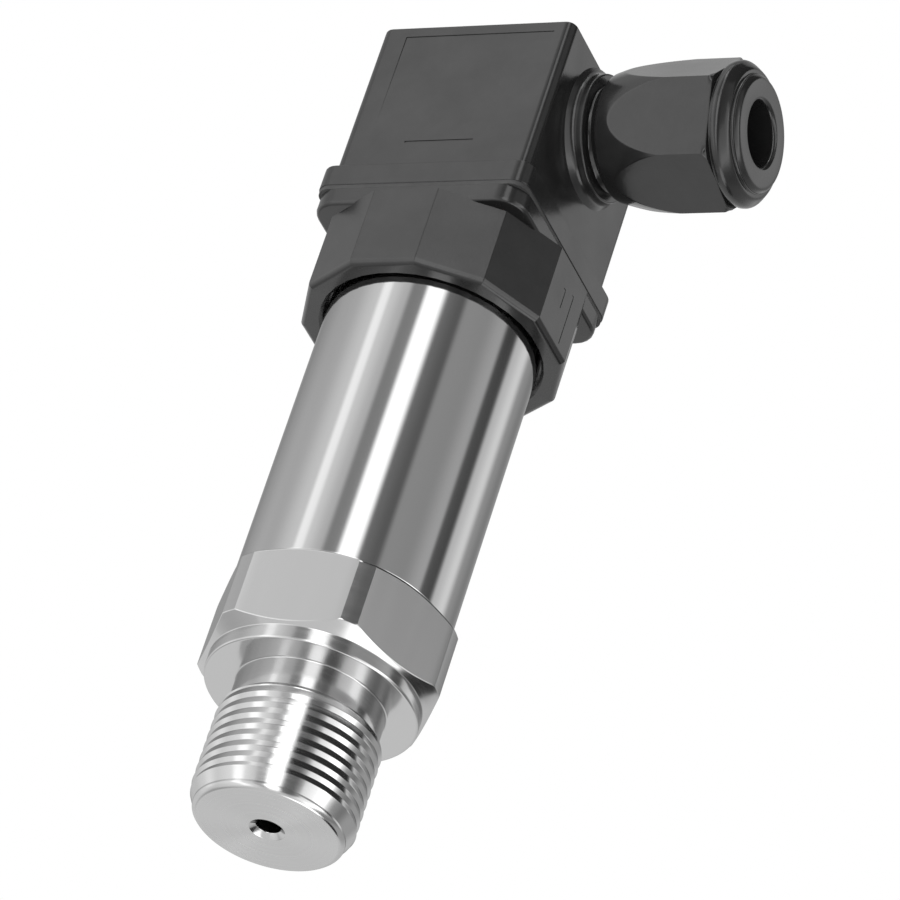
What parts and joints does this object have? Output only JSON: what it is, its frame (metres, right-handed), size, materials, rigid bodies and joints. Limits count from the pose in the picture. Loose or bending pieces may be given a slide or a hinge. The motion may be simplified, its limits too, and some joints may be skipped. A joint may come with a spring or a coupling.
{
  "type": "pressure transmitter",
  "caption": "Industrial pressure transmitter: threaded stainless connection with hexagon, round tube body and a square angled cable plug with gland.",
  "frame": {"origin": "centre of the flat face of the threaded end", "axes": "+Z along the body from the threaded end to the plug, +X the way the cable leaves the gland, -Y the front"},
  "size_m": [0.0516, 0.0322, 0.1111],
  "materials": {
    "stainless": "turned and polished stainless steel",
    "tube_steel": "polished stainless tube",
    "black_plastic": "black glass-filled nylon, satin",
    "inner_plastic": "black plastic carrier",
    "seal_rubber": "black nitrile rubber",
    "board": "green circuit board",
    "chip": "component bodies",
    "wire_cover": "insulated wire",
    "brass": "brass",
    "tinned": "tinned contact metal",
    "screw_steel": "plated steel screw"
  },
  "bodies": {
    "transmitter": {"process_connection": "stainless", "sensor_capsule": "stainless", "isolating_diaphragm": "stainless", "sensor_o_ring": "seal_rubber", "header_pins": "brass", "sensor_retaining_ring": "stainless", "housing_tube": "tube_steel", "board_holder": "inner_plastic", "compensation_board": "board", "amplifier_board": "board", "board_components": "chip", "signal_wires": "wire_cover", "connector_base": "black_plastic", "tube_o_ring": "seal_rubber", "threaded_insert": "brass", "contact_blades": "tinned", "earth_blade": "tinned"},
    "plug": {"profile_gasket": "seal_rubber", "plug_housing": "black_plastic", "terminal_insert": "inner_plastic", "socket_contacts": "tinned", "terminal_screws": "screw_steel", "screw_washer": "seal_rubber", "cable_grommet": "seal_rubber"},
    "fixing_screw": {"fixing_screw": "screw_steel"},
    "gland_clamp": {"clamp_washer": "inner_plastic"},
    "gland_nut": {"gland_nut": "black_plastic"}
  },
  "joints": [
    {"name": "plug_lift", "type": "slide", "parent": "transmitter", "child": "plug", "axis": [0, 0, 1], "range_m": [0, 0.03]},
    {"name": "fixing_screw_turn", "type": "hinge", "parent": "plug", "child": "fixing_screw", "pos_m": [0, 0, 0.1], "axis": [0, 0, 1], "continuous": true},
    {"name": "gland_clamp_slide", "type": "slide", "parent": "plug", "child": "gland_clamp", "axis": [1, 0, 0], "range_m": [0, 0.0106]},
    {"name": "gland_nut_turn", "type": "hinge", "parent": "gland_clamp", "child": "gland_nut", "pos_m": [0.03, 0, 0.10208], "axis": [1, 0, 0], "range_deg": [0, 2520]}
  ],
  "couplings": [
    {"joint": "gland_clamp_slide", "follows": "gland_nut_turn", "m_per_rad": 0.00023873}
  ]
}
